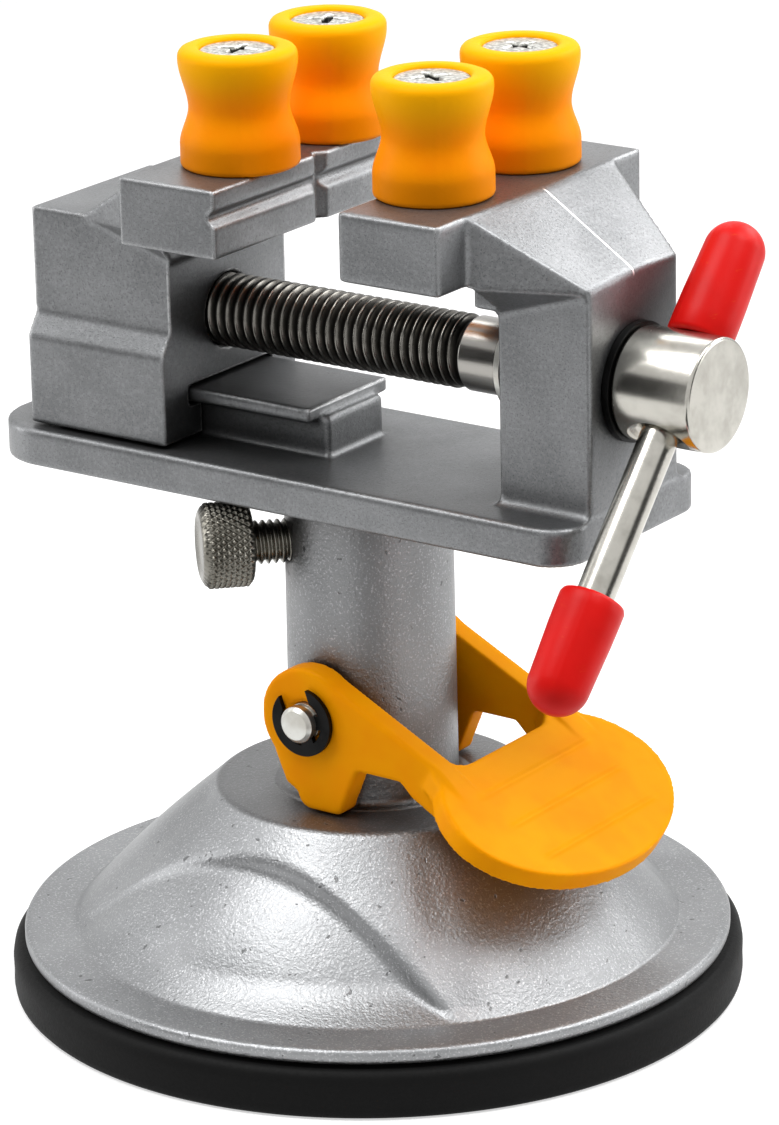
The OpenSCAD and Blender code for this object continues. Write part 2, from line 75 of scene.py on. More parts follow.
class Finish:
    def __init__(self, name):
        self.material = bpy.data.materials.new(name)
        self.material.use_nodes = True
        self.nodes = self.material.node_tree.nodes
        self.links = self.material.node_tree.links
        self.skin = self.nodes["Principled BSDF"]
        self.place = self.add("ShaderNodeTexCoord", {}, {}, "Object")

    # a socket takes a wire or a constant
    def feed(self, socket, value):
        if isinstance(value, Wire):
            self.links.new(value.socket, socket)
        else:
            socket.default_value = value

    # any node: its settings first, then the values or wires of its sockets, then the output that is used
    def add(self, kind, settings, inputs, output=0):
        node = self.nodes.new(kind)
        for key, value in settings.items():
            setattr(node, key, value)
        for key, value in inputs.items() if isinstance(inputs, dict) else enumerate(inputs):
            self.feed(node.inputs[key], value)
        return Wire(self, node.outputs[output])

    # noise on object coordinates: scale is in features per metre
    def noise(self, scale, detail=3.0, rough=0.5, place=None):
        inputs = {"Vector": place or self.place, "Scale": scale, "Detail": detail, "Roughness": rough}
        return self.add("ShaderNodeTexNoise", {}, inputs, "Fac")

    # object coordinates stretched along the axes, for flow lines and scratches that run one way
    def stretched(self, scale, turn=(0.0, 0.0, 0.0)):
        return self.add("ShaderNodeMapping", {}, {"Vector": self.place, "Scale": scale, "Rotation": turn})

    def axis(self, name):
        return self.add("ShaderNodeSeparateXYZ", {}, [self.place], name)

    # first where the mask is 0, second where it is 1: the sockets' names repeat, so they go by number
    def mix(self, mask, first, second):
        return self.add("ShaderNodeMix", {"data_type": "RGBA"}, {0: mask, 6: first, 7: second}, 2)

    # how far the surface turns within a small radius: 0 on flats, towards 1 on sharp corners
    def edges(self, radius, low=0.02, high=0.25):
        rounded = self.add("ShaderNodeBevel", {"samples": 6}, {"Radius": radius})
        plain = self.add("ShaderNodeNewGeometry", {}, {}, "Normal")
        turn = self.add("ShaderNodeVectorMath", {"operation": "DOT_PRODUCT"}, [rounded, plain], "Value")
        return (1.0 - turn).step(low, high)

    # how closed in the surface is within a distance: 0 in the open, 1 deep in a corner
    def hollows(self, distance, low, high):
        openness = self.add("ShaderNodeAmbientOcclusion", {"samples": 6}, {"Distance": distance}, "AO")
        return 1.0 - openness.step(low, high)

    # a bump map whose normals also round sharp edges off by the radius
    def bump(self, height, depth, strength, radius):
        rounded = self.add("ShaderNodeBevel", {"samples": 6}, {"Radius": radius})
        inputs = {"Height": height, "Distance": depth, "Strength": strength, "Normal": rounded}
        return self.add("ShaderNodeBump", {}, inputs)

    def set(self, **values):
        for key, value in values.items():
            self.feed(self.skin.inputs[key.replace("_", " ")], value)
        return self.material


def shade(r, g, b):  # screen colour to linear, by the sRGB curve
    return tuple(((c + 0.055) / 1.055) ** 2.4 if c > 0.04045 else c / 12.92 for c in (r, g, b)) + (1.0,)


# in the looks below, scales are features per metre, and pairs of heights or distances are smooth steps' ends
softEdge = 0.3 * mm

# grey die casting: the parting line runs down the middle of the fixed jaw's sloping neck. Hollows below the jaw
# tops get painted shade, and the edges and the parting line are painted bright, partly as wear and partly as
# painted highlight
castLook = {"dark": shade(0.45, 0.455, 0.46), "light": shade(0.51, 0.515, 0.52),
            "sparkle": shade(0.62, 0.625, 0.63), "pit": shade(0.27, 0.27, 0.275),
            "dirtAndShade": shade(0.13, 0.13, 0.13), "bareAndGlint": shade(0.92, 0.92, 0.92),
            "grainScale": 1900.0, "pitScale": 4200.0, "cloudScale": 90.0, "wearScale": 700.0,
            "flowScale": (120.0, 120.0, 900.0), "edge": 0.7 * mm, "hollow": 16.0 * mm, "relief": 0.06 * mm,
            "lineSide": (0.10 * mm, 0.24 * mm), "lineFrom": (28.4 * mm, 28.8 * mm),
            "lineAbove": (104.8 * mm, 105.4 * mm), "unshadedAbove": (113.6 * mm, 114.3 * mm)}


def castFinish(c):
    f = Finish("dieCast")
    x, y, z = (f.axis(name) for name in "XYZ")
    grain = f.noise(c["grainScale"], 4.0, 0.6)
    pits = f.noise(c["pitScale"], 2.0).step(0.54, 0.70)
    flow = f.noise(1.0, place=f.stretched(c["flowScale"]))
    wearAndGlint = f.edges(c["edge"], 0.012, 0.085) * (0.4 + 0.8 * f.noise(c["wearScale"], 3.0, 0.6).step(0.3, 0.6))
    parting = (1.0 - y.absolute().step(*c["lineSide"])) * x.step(*c["lineFrom"]) * z.step(*c["lineAbove"])
    # painted shade in the hollows, faded out above the jaw tops
    paintedShade = 0.85 * f.hollows(c["hollow"], 0.25, 0.95) * (1.0 - 0.9 * z.step(*c["unshadedAbove"]))
    base = f.mix(f.noise(c["cloudScale"]).step(0.3, 0.7), c["dark"], c["light"])
    base = f.mix(0.3 * grain.step(0.42, 0.68), base, c["sparkle"])
    base = f.mix(0.45 * pits, base, c["pit"])
    base = f.mix(paintedShade, base, c["dirtAndShade"])
    # edges and the parting line painted bright: partly wear, partly painted highlight
    base = f.mix(wearAndGlint.most(parting).least(1.0), base, c["bareAndGlint"])
    return f.set(Base_Color=base, Metallic=0.9, Roughness=0.31 + 0.12 * grain + 0.06 * flow - 0.06 * wearAndGlint,
                 Normal=f.bump(0.7 * grain + 0.3 * pits + 1.5 * parting, c["relief"], 0.6, softEdge))


# silver sand paint of the base: the plateau carries a painted shadow, the post is painted a little darker as
# shade, hollows get painted shade, and edges are worn below the plateau
sandLook = {"dark": shade(0.53, 0.535, 0.54), "light": shade(0.58, 0.585, 0.59),
            "sparkle": shade(0.80, 0.80, 0.81), "shadeTone": shade(0.22, 0.21, 0.20),
            "dirtAndShade": shade(0.20, 0.16, 0.13), "bareAndGlint": shade(0.85, 0.85, 0.85),
            "pit": shade(0.25, 0.25, 0.25), "peelScale": 1700.0, "fineScale": 3600.0, "cloudScale": 60.0,
            "pitScale": 700.0, "wearScale": 500.0, "edge": 0.5 * mm, "hollow": 8.0 * mm, "relief": 0.17 * mm,
            "plateauFrom": (28.0 * mm, 28.3 * mm), "plateauTo": (29.0 * mm, 30.2 * mm),
            "postFrom": (30.0 * mm, 31.0 * mm), "wornBelow": (27.6 * mm, 28.2 * mm)}


def sandPaintFinish(c):
    f = Finish("sandPaint")
    z = f.axis("Z")
    peel = f.noise(c["peelScale"], 2.0, 0.45)
    fine = f.noise(c["fineScale"], 2.0)
    pits = f.noise(c["pitScale"], 2.0).step(0.70, 0.74)
    wearAndGlint = f.edges(c["edge"]) * f.noise(c["wearScale"], 3.0, 0.6).step(0.35, 0.6)
    plateau = z.step(*c["plateauFrom"]) * (1.0 - z.step(*c["plateauTo"]))
    base = f.mix(f.noise(c["cloudScale"], 2.0).step(0.3, 0.7), c["dark"], c["light"])
    base = f.mix(0.6 * fine.step(0.55, 0.72), base, c["sparkle"])
    # painted shadow over the plateau, and lighter painted shade on the post
    base = f.mix(0.40 * plateau + 0.22 * z.step(*c["postFrom"]), base, c["shadeTone"])
    # painted shade in the hollows
    base = f.mix(0.6 * f.hollows(c["hollow"], 0.2, 0.95), base, c["dirtAndShade"])
    base = f.mix(0.5 * wearAndGlint * (1.0 - z.step(*c["wornBelow"])), base, c["bareAndGlint"])
    base = f.mix(0.6 * pits, base, c["pit"])
    return f.set(Base_Color=base, Metallic=0.94, Roughness=0.36 + 0.12 * fine,
                 Normal=f.bump(0.6 * peel + 0.4 * fine - 0.4 * pits, c["relief"], 0.7, softEdge))


# moulded plastic: cloudy colour, fine texture and a few scuffs that run aslant
plasticLook = {"scuff": shade(1.0, 0.80, 0.0), "scuffScale": (350.0, 350.0, 1400.0), "scuffTurn": (0.4, 0.2, 0.7),
               "cloudScale": 130.0, "textureScale": 1700.0, "relief": 0.03 * mm}


def plasticFinish(name, main, deep, rough, gloss=0.1):
    c = plasticLook
    f = Finish(name)
    texture = f.noise(c["textureScale"], 3.0, 0.6)
    scuff = f.noise(1.0, 4.0, 0.6, f.stretched(c["scuffScale"], c["scuffTurn"])).step(0.62, 0.8)
    base = f.mix(f.noise(c["cloudScale"], 2.0).step(0.35, 0.7), main, deep)
    return f.set(Base_Color=f.mix(0.08 * scuff, base, c["scuff"]), Roughness=rough + 0.12 * texture + 0.1 * scuff,
                 Specular_IOR_Level=gloss, Normal=f.bump(texture, c["relief"], 0.5, softEdge))


# peg plastic: painted light makes the rims yellower, and painted shade makes the foot browner
pegLook = {"main": shade(1.0, 0.58, 0.0), "deep": shade(1.0, 0.55, 0.0), "footShade": shade(0.93, 0.54, 0.0),
           "rimLight": shade(1.0, 0.69, 0.0), "foot": (117.0 * mm, 120.5 * mm), "rim": (122.4 * mm, 128.4 * mm),
           "cloudScale": 150.0, "textureScale": 1500.0, "relief": 0.05 * mm}


def pegFinish(c):
    f = Finish("pegPlastic")
    z = f.axis("Z")
    texture = f.noise(c["textureScale"], 3.0, 0.6)
    base = f.mix(f.noise(c["cloudScale"], 2.0).step(0.35, 0.7), c["main"], c["deep"])
    # painted shade towards the foot
    base = f.mix(1.0 - z.step(*c["foot"]), base, c["footShade"])
    # painted light on the rims
    base = f.mix(z.step(*c["rim"]), base, c["rimLight"])
    return f.set(Base_Color=base, Roughness=0.4 + 0.12 * texture, Specular_IOR_Level=0.05,
                 Normal=f.bump(texture, c["relief"], 0.6, softEdge))


rubberLook = {"clean": shade(0.02, 0.02, 0.02), "dusty": shade(0.055, 0.055, 0.05), "dustScale": 240.0,
              "grainScale": 2200.0, "relief": 0.06 * mm}


def rubberFinish(c):
    f = Finish("cupRubber")
    grain = f.noise(c["grainScale"], 3.0, 0.6)
    dust = f.noise(c["dustScale"], 4.0, 0.65).step(0.5, 0.85)
    return f.set(Base_Color=f.mix(0.5 * dust, c["clean"], c["dusty"]), Roughness=0.5 + 0.2 * grain,
                 Specular_IOR_Level=0.12, Normal=f.bump(grain, c["relief"], 0.6, softEdge))


# turned or plated steel: a cloudy film, fine rubbing marks and small dark pits
steelLook = {"pit": shade(0.25, 0.23, 0.21), "filmScale": 260.0, "rubScale": 2600.0, "pitScale": 2400.0,
             "rub": 0.35, "relief": 0.01 * mm, "edge": 0.12 * mm}


def steelFinish(name, main, deep, rough, dirtAndShade=0.4):
    c = steelLook
    f = Finish(name)
    rub = f.noise(c["rubScale"], 4.0, 0.6)
    pits = f.noise(c["pitScale"], 2.0).step(0.66, 0.8)
    base = f.mix(f.noise(c["filmScale"], 3.0, 0.6).step(0.35, 0.75), main, deep)
    base = f.mix(dirtAndShade * pits, base, c["pit"])
    return f.set(Base_Color=base, Metallic=1.0, Roughness=rough + c["rub"] * rough * rub + 0.1 * pits,
                 Normal=f.bump(rub, c["relief"], 0.4, c["edge"]))


# zinc with a painted shadow, near black, in the cross recess below the top of the heads
recessLook = {"dark": shade(0.58, 0.58, 0.56), "light": shade(0.88, 0.88, 0.86), "black": shade(0.06, 0.06, 0.06),
              "recessTo": (129.55 * mm, 129.80 * mm), "mottleScale": 1500.0, "relief": 0.04 * mm, "edge": 0.1 * mm}


def recessFinish(c):
    f = Finish("pegScrewZinc")
    mottle = f.noise(c["mottleScale"], 3.0, 0.6)
    base = f.mix(mottle.step(0.35, 0.65), c["dark"], c["light"])
    # painted shadow in the cross recess
    base = f.mix(0.92 * (1.0 - f.axis("Z").step(*c["recessTo"])), base, c["black"])
    return f.set(Base_Color=base, Metallic=1.0, Roughness=0.26 + 0.2 * mottle,
                 Normal=f.bump(mottle, c["relief"], 0.6, c["edge"]))


# lead screw: radius follows the thread's phase, x / pitch - angle / turn, between its run-outs
leadScrew = {"radius": 5.0, "depth": 0.85, "pitch": 1.5, "from": -40.2, "threadTo": 17.6, "to": 45.6,
             "height": 91.05, "tenon": 3.5, "tenonLong": 2.3, "shoulder": 0.7, "runIn": 1.2, "runOut": 1.0,
             "perTurn": 12, "steps": 96}
threadLook = {"main": shade(0.47, 0.46, 0.44), "deep": shade(0.35, 0.34, 0.32), "shank": shade(0.62, 0.61, 0.59),
              "rootShade": shade(0.05, 0.045, 0.04), "filmScale": 260.0, "rubScale": (260.0, 2600.0, 2600.0),
              "relief": 0.015 * mm, "edge": 0.05 * mm}


# nickel with painted shade in the thread's roots: distance from the screw's axis tells root from crest
def threadFinish(t, c):
    f = Finish("screwNickel")
    y, z = f.axis("Y"), f.axis("Z") - t["height"] * mm
    away = (y * y + z * z) ** 0.5
    shank = f.axis("X").step(t["threadTo"] * mm, (t["threadTo"] + 0.6) * mm)
    crest = away.step((t["radius"] - t["depth"] + 0.05) * mm, (t["radius"] - 0.1) * mm)
    root = (1.0 - crest) * (1.0 - shank)
    rub = f.noise(1.0, 4.0, 0.6, f.stretched(c["rubScale"]))
    base = f.mix(f.noise(c["filmScale"], 3.0, 0.6).step(0.35, 0.75), c["main"], c["deep"])
    base = f.mix(shank, base, c["shank"])
    # painted shade in the thread's roots
    base = f.mix(0.97 * root, base, c["rootShade"])
    return f.set(Base_Color=base, Metallic=1.0, Roughness=0.18 + 0.1 * rub + 0.25 * root,
                 Normal=f.bump(rub, c["relief"], 0.5, c["edge"]))


finishes = {
    "cast_metal": castFinish(castLook),
    "painted_base": sandPaintFinish(sandLook),
    "rubber": rubberFinish(rubberLook),
    "yellow_plastic": plasticFinish("yellowPlastic", shade(0.98, 0.63, 0.0), shade(0.97, 0.59, 0.0), 0.40, 0.04),
    "red_plastic": plasticFinish("redPlastic", shade(0.84, 0.06, 0.04), shade(0.79, 0.05, 0.03), 0.34, 0.15),
    "white_plastic": plasticFinish("slugPlastic", shade(0.9, 0.9, 0.86), shade(0.85, 0.84, 0.8), 0.5),
    "screw_steel": threadFinish(leadScrew, threadLook),
    "bright_steel": steelFinish("brightSteel", shade(0.73, 0.72, 0.69), shade(0.65, 0.64, 0.61), 0.18, 0.25),
    "zinc_steel": steelFinish("zincSteel", shade(0.80, 0.80, 0.78), shade(0.70, 0.69, 0.66), 0.3),
    "black_steel": steelFinish("blackSteel", shade(0.12, 0.12, 0.12), shade(0.08, 0.08, 0.08), 0.35),
}
knurlSteel = steelFinish("knurlSteel", shade(0.50, 0.49, 0.46), shade(0.40, 0.39, 0.36), 0.24)
recessZinc = recessFinish(recessLook)
pegPlastic = pegFinish(pegLook)
slotOf = {s["node"]: s["material_slot"] for s in frame["record"]["subparts"]}
bodyOf = {n: b for b, members in frame["record"]["behaviour"]["bodies"].items() for n in members}
for name, node in nodes.items():
    node.data.materials.clear()
    node.data.materials.append(finishes[slotOf[name]])
print("stage: finishes made")


def smoothShaded(made):
    made.data.polygons.foreach_set("use_smooth", np.ones(len(made.data.polygons), bool))


# puts points and faces into a mesh object on the body of the CAD node that it stands for
def piece(name, points, faces, node, finish=None):
    mesh = bpy.data.meshes.new(name)
    mesh.from_pydata(points.reshape(-1, 3).tolist(), [], faces.tolist())
    made = bpy.data.objects.new(name, mesh)
    smoothShaded(made)
    scene.collection.objects.link(made)
    mesh.materials.append(finish or finishes[slotOf[node]])
    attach(made, bodyOf[node])
    return made


# quads of a grid with rows and columns, wrapped round where closed
def gridFaces(rows, columns, wrapRows=False, wrapColumns=True):
    i = np.arange(rows if wrapRows else rows - 1)[:, None]
    j = np.arange(columns if wrapColumns else columns - 1)[None, :]
    down, over = (i + 1) % rows, (j + 1) % columns
    a, b = i * columns + j, down * columns + j
    c, d = down * columns + over, i * columns + over
    return np.stack([a, b, c, d], -1).reshape(-1, 4)


# a helix's grid: distance along its axis, low + pitch * (row / perTurn + angle / turn - 1), kept in low to high
def helix(low, high, pitch, perTurn, steps):
    rows = int((high - low) / pitch * perTurn) + perTurn + 1
    row, turn = np.arange(rows)[:, None], np.arange(steps)[None, :] / steps
    run = np.clip(low + pitch * (row / perTurn + turn - 1), low, high)
    phase = np.broadcast_to((row % perTurn) / perTurn, run.shape)
    return run, phase, 2 * np.pi * turn


# faces of a helix's grid: the last column meets the first one a turn further on
def helixFaces(rows, steps, perTurn):
    k = np.arange(rows - 1 - perTurn)
    join = [k * steps + steps - 1, (k + 1) * steps + steps - 1, (k + 1 + perTurn) * steps, (k + perTurn) * steps]
    return np.concatenate([gridFaces(rows, steps, False, False), np.stack(join, -1)])


# joins what touches and turns all faces outwards
def close(made, distance=0.002 * mm):
    work = bmesh.new()
    work.from_mesh(made.data)
    bmesh.ops.remove_doubles(work, verts=work.verts, dist=distance)
    bmesh.ops.dissolve_degenerate(work, edges=work.edges, dist=distance / 4)
    bmesh.ops.recalc_face_normals(work, faces=work.faces)
    work.to_mesh(made.data)
    work.free()
    return made


# several meshes made one object
def join(made, others):
    for other in others:
        work = bmesh.new()
        work.from_mesh(made.data)
        work.from_mesh(other.data)
        work.to_mesh(made.data)
        work.free()
        bpy.data.objects.remove(other)
    return made


def modify(made, kind, **settings):
    change = made.modifiers.new(kind.title(), kind)
    for key, value in settings.items():
        setattr(change, key, value)


# the mesh as its modifiers leave it
def applied(made):
    mesh = bpy.data.meshes.new_from_object(made.evaluated_get(bpy.context.evaluated_depsgraph_get()))
    made.modifiers.clear()
    made.data = mesh


# cuts a shape out of a piece
def carve(made, cutter):
    modify(made, "BOOLEAN", operation="DIFFERENCE", object=cutter, solver="EXACT")
    applied(made)
    bpy.data.objects.remove(cutter)


# the frame of an axis: where it starts, its direction, and two directions across it
def axisFrame(start, along):
    along = np.array(along, float) / np.linalg.norm(along)
    side = np.cross(along, [0.0, 0.0, 1.0]) if abs(along[2]) < 0.9 else np.array([1.0, 0.0, 0.0])
    side = side / np.linalg.norm(side)
    return np.array(start, float) * mm, along, side, np.cross(along, side)


# radius and distance along an axis, at each angle, as points in metres
def roundAxis(axis, radius, s, turn):
    start, along, side, up = axis
    across = np.cos(turn)[..., None] * side + np.sin(turn)[..., None] * up
    return start + mm * (radius[..., None] * across + s[..., None] * along)


# a profile of [radius, distance] carried round an axis: change(radius, s, angle) may vary it with the angle
def turned(profile, axis, steps=96, change=None):
    profile = np.array(profile, float)
    turn = np.linspace(0, 2 * np.pi, steps, endpoint=False)[None, :]
    radius = np.repeat(profile[:, :1], steps, 1)
    s = np.repeat(profile[:, 1:], steps, 1)
    if change is not None:
        radius, s = change(radius, s, turn)
    return roundAxis(axis, radius, s, turn)


# rounds the corners of an open profile: each corner becomes a short arc of the given radius
def rounded(points, radius, steps=4):
    out = [points[0]]
    for before, corner, after in zip(points, points[1:-1], points[2:]):
        before, corner, after = (np.array(p, float) for p in (before, corner, after))
        into, away = before - corner, after - corner
        r = min(radius, 0.45 * np.linalg.norm(into), 0.45 * np.linalg.norm(away))
        first = corner + into / np.linalg.norm(into) * r
        last = corner + away / np.linalg.norm(away) * r
        for t in np.linspace(0, 1, steps + 1):
            out.append(tuple((1 - t) ** 2 * first + 2 * t * (1 - t) * corner + t * t * last))
    out.append(points[-1])
    return out


# a turned piece: the profile carried round the axis and closed where its ends meet
def lathe(name, profile, axis, node, steps=96, change=None, finish=None):
    points = turned(profile, axis, steps, change)
    return close(piece(name, points, gridFaces(len(profile), steps), node, finish))


# moulding seam on two sides: radius + height * exp(-(sin(angle - at) / width) ^ 2), beyond a radius
def seam(at, width, height, beyond):
    def change(radius, s, turn):
        return radius + height * np.exp(-(np.sin(turn - at) / width) ** 2) * (radius > beyond), s
    return change


# a copy of a CAD solid, remeshed in small cubes and smoothed, so that its edges round off as on a casting or
# moulding: fill is a box to fill first, by its low and high corners, and change(points in mm) shapes the result
def melted(name, node, cube, rounds, change=None, fill=None):
    made = bpy.data.objects.new(name, nodes[node].data.copy())
    scene.collection.objects.link(made)
    work = bmesh.new()
    work.from_mesh(made.data)
    bmesh.ops.remove_doubles(work, verts=work.verts, dist=0.004 * mm)
    if fill is not None:
        low, high = np.array(fill[:3]) * mm, np.array(fill[3:]) * mm
        place = Matrix.Translation((low + high) / 2) @ Matrix.Diagonal(tuple(high - low) + (1.0,))
        bmesh.ops.create_cube(work, size=1.0, matrix=place)
    work.to_mesh(made.data)
    work.free()
    modify(made, "REMESH", mode="VOXEL", voxel_size=cube, use_smooth_shade=True)
    modify(made, "SMOOTH", factor=0.5, iterations=rounds)
    applied(made)
    if change is not None:
        points = np.zeros(len(made.data.vertices) * 3)
        made.data.vertices.foreach_get("co", points)
        made.data.vertices.foreach_set("co", change(points.reshape(-1, 3) / mm).ravel() * mm)
    smoothShaded(made)
    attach(made, bodyOf[node])
    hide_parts(node)
    print("stage:", name, "rounded,", len(made.data.polygons), "faces")


# thread: radius less depth in its grooves, which follow |phase - 1/2|, fading in and out at its two ends
def makeLeadScrew(p):
    steps, low = p["steps"], p["radius"] - p["depth"]
    x, phase, turn = helix(p["from"], p["threadTo"], p["pitch"], p["perTurn"], steps)
    tooth = np.clip(np.abs(phase - 0.5) * 2.9 - 0.28, 0, 1)
    ends = np.clip((x - p["from"]) / p["runIn"], 0, 1) * np.clip((p["threadTo"] - x) / p["runOut"], 0, 1)
    radius = p["radius"] - p["depth"] * (1 - (1 - tooth) * ends)
    points = np.stack([x, radius * np.cos(turn), p["height"] + radius * np.sin(turn)], -1) * mm
    thread = piece("leadScrew", points, helixFaces(len(x), steps, p["perTurn"]), "lead_screw")
    end = p["to"] - p["threadTo"]
    shoulder = end - p["tenonLong"]
    profile = rounded([[0.0, -0.4], [low, -0.4], [low, 0.0], [p["radius"], p["shoulder"]], [p["radius"], shoulder],
                       [p["tenon"], shoulder], [p["tenon"], end], [0.0, end]], 0.15)
    points = turned(profile, axisFrame((p["threadTo"], 0, p["height"]), (1, 0, 0)), steps)
    shank = piece("shank", points, gridFaces(len(profile), steps), "lead_screw")
    profile = [[0.0, 0.0], [low - 0.05, 0.0], [low, 0.05]]
    points = turned(profile, axisFrame((p["from"], 0, p["height"]), (1, 0, 0)), steps)
    tip = piece("tip", points, gridFaces(len(profile), steps), "lead_screw")
    screw = close(join(thread, [shank, tip]))
    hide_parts("lead_screw")
    print("stage: lead screw cut,", len(screw.data.polygons), "faces")


makeLeadScrew(leadScrew)

# pegs: waisted round bodies, r = waist + (radius - waist) * smooth step of |t| / rimAt above the middle and of
# |t| / footAt below it, with t from -1 at the foot to 1 at the rim, and a screw sunk in each
peg = {"radius": 7.85, "waist": 6.62, "rimAt": 0.80, "footAt": 0.62, "height": 15.8, "bore": 2.1, "seat": 5.0,
       "seatDepth": 1.55, "coneDepth": 1.6, "corners": (0.6, 1.25), "pitch": 20.0, "back": 5.6, "foot": 114.65,
       "faces": {"fixed": 13.0, "moving": -6.5}, "mouth": ((0.55, 0.0), (0.25, 0.08), (0.06, 0.28), (0.0, 0.6)),
       "seam": (-0.9, 0.035, 0.05), "rings": 57, "steps": 120}
pegHead = {"radius": 4.93, "top": 15.45, "thick": 1.2, "cross": 2.7, "slotWidth": 0.8, "slotTaper": 0.35,
           "slotDepth": 1.4, "wall": 0.28, "crown": 0.12, "lip": 0.15, "lipWidth": 0.35, "thread": 2.0,
           "length": 7.6, "rings": 44, "steps": 144}


# the section of a peg: the waisted side with both corners turned in, then the screw's seat and bore
def pegProfile(p):
    half, top = p["height"] / 2, p["height"]
    t = np.linspace(-1, 1, p["rings"])
    rise = np.clip(np.abs(t) / np.where(t < 0, p["footAt"], p["rimAt"]), 0, 1)
    side = p["waist"] + (p["radius"] - p["waist"]) * rise * rise * (3 - 2 * rise)
    corner = np.where(t < 0, p["corners"][0], p["corners"][1])
    turnIn = np.clip(1 - (1 - np.abs(t)) * half / corner, 0, 1)
    side = side - corner * (1 - np.sqrt(1 - 0.99 * turnIn ** 2))
    outer = [[r, half + half * s] for r, s in zip(side, t)]
    seatFloor = top - p["seatDepth"]
    inner = [[p["seat"] + out, top - down] for out, down in p["mouth"]]
    inner += [[p["seat"], seatFloor], [p["bore"], seatFloor - p["coneDepth"]], [p["bore"], 0.0],
              [p["bore"] + 0.05, 0.0]]
    return outer + inner + [outer[0]]


# the section carried round Z, with a moulding seam
def makePeg(name, x, y, node):
    axis = axisFrame((x, y, peg["foot"]), (0, 0, 1))
    made = lathe(name, pegProfile(peg), axis, node, peg["steps"], seam(*peg["seam"], peg["seat"] + 1), pegPlastic)
    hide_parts(node)


# screw head, height over radius and angle: a low crown, less the lip's fall and less a dip along two crossing
# arms that is deepest in the middle
def makePegScrew(name, x, y, node, spin):
    h, steps = pegHead, pegHead["steps"]

    # below 0 inside an arm that narrows outwards, above 0 outside it
    def outsideArm(along, across):
        width = h["slotWidth"] * (1 - h["slotTaper"] * along / h["cross"])
        return np.maximum(across - width, along - h["cross"])
    rim = h["radius"] - np.array([0.18, 0.05, 0.0])
    ring = np.concatenate([np.linspace(0, h["radius"] - h["lipWidth"], h["rings"]), rim])
    turn = np.linspace(0, 2 * np.pi, steps, endpoint=False)[None, :]
    r = ring[:, None]
    u, v = np.abs(r * np.cos(turn + spin)), np.abs(r * np.sin(turn + spin))
    arm = np.minimum(outsideArm(u, v), outsideArm(v, u))
    dip = np.clip(-arm / h["wall"], 0, 1) * h["slotDepth"] * np.clip(1.15 - 0.42 * r / h["cross"], 0.3, 1)
    crown = h["crown"] * (1 - (r / h["radius"]) ** 2)
    lip = h["lip"] * np.clip((r - h["radius"] + h["lipWidth"]) / h["lipWidth"], 0, 1) ** 2
    z = h["top"] + crown - dip - lip - h["crown"]
    points = np.stack([x + r * np.cos(turn), y + r * np.sin(turn), peg["foot"] + z], -1) * mm
    head = piece(name, points, gridFaces(len(ring), steps), node, recessZinc)
    low, stemR, end = h["top"] - h["thick"], h["thread"], -h["length"]
    under = [[h["radius"], h["top"] - h["crown"] - h["lip"]], [h["radius"], low], [h["radius"] - 1.0, low - 0.01],
             [stemR, low - 2.3], [stemR, end + 0.2], [stemR - 0.2, end], [0.0, end]]
    points = turned(under, axisFrame((x, y, peg["foot"]), (0, 0, 1)), steps)
    stem = piece(name + "Stem", points, gridFaces(len(under), steps), node)
    made = close(join(head, [stem]), 0.004 * mm)
    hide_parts(node)


for jaw, dirX in (("fixed", 1), ("moving", -1)):
    for side, dirY in (("front", -1), ("back", 1)):
        x = peg["faces"][jaw] + dirX * peg["back"]
        y = dirY * peg["pitch"] / 2
        spin = 0.4 + 1.1 * x + 0.3 * y  # each screw stopped at an angle of its own
        makePeg(f"peg_{jaw}_{side}_body", x, y, f"peg_{jaw}_{side}")
        makePegScrew(f"peg_{jaw}_{side}_head", x, y, f"peg_screw_{jaw}_{side}", spin)
print("stage: pegs turned")

# handle: hub with a flared cross hole, bar and two caps, of which the upper one reaches into the hole's mouth
handle = {"x": 49.0, "height": 91.05, "lean": 42.0, "hubFrom": 43.35, "hubTo": 55.05, "hubRadius": 7.5,
          "hubEdge": 0.55, "bore": 2.56, "flare": 1.5, "tenonRadius": 3.53, "tenonDeep": 2.45, "bar": 2.5,
          "low": 30.1, "high": 7.8, "deep": 11.0, "capLength": 16.1, "capRadius": 4.35, "seat": 1.0,
          "seam": (1.1, 0.04, 0.05, 3.3)}
lean = math.radians(handle["lean"])
barAlong = np.array([0.0, math.sin(lean), math.cos(lean)])
barMiddle = np.array([handle["x"], 0.0, handle["height"]])


# round block with rounded edges, less a flared hole along the bar and a socket for the screw's tenon
def makeHub(h):
    screwAxis = axisFrame((h["hubFrom"], 0, h["height"]), (1, 0, 0))
    length, r, b = h["hubTo"] - h["hubFrom"], h["hubRadius"], h["bore"]
    block = [[0.0, 0.0], [r, 0.0], [r, length], [0.0, length]]
    hub = lathe("hub", rounded(block, h["hubEdge"], 5), screwAxis, "handle_hub", 128)
    mouth = [[b, r - h["flare"] - 0.5], [b + 0.35, r - 0.9], [b + 1.8, r - 0.1], [b + 5, 12.0]]
    cut = [[0.0, -12.0]] + [[radius, -s] for radius, s in mouth[::-1]] + mouth + [[0.0, 12.0]]
    carve(hub, lathe("hubCutter", rounded(cut, 0.5), axisFrame(barMiddle, barAlong), "handle_hub", 64))
    cut = [[0.0, -1.0], [h["tenonRadius"], -1.0], [h["tenonRadius"], h["tenonDeep"]], [0.0, h["tenonDeep"]]]
    carve(hub, lathe("tenonCutter", cut, screwAxis, "handle_hub", 64))
    smoothShaded(hub)
    modify(hub, "BEVEL", width=0.18 * mm, segments=2, limit_method="ANGLE", angle_limit=math.radians(35),
           harden_normals=True)
    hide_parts("handle_hub")


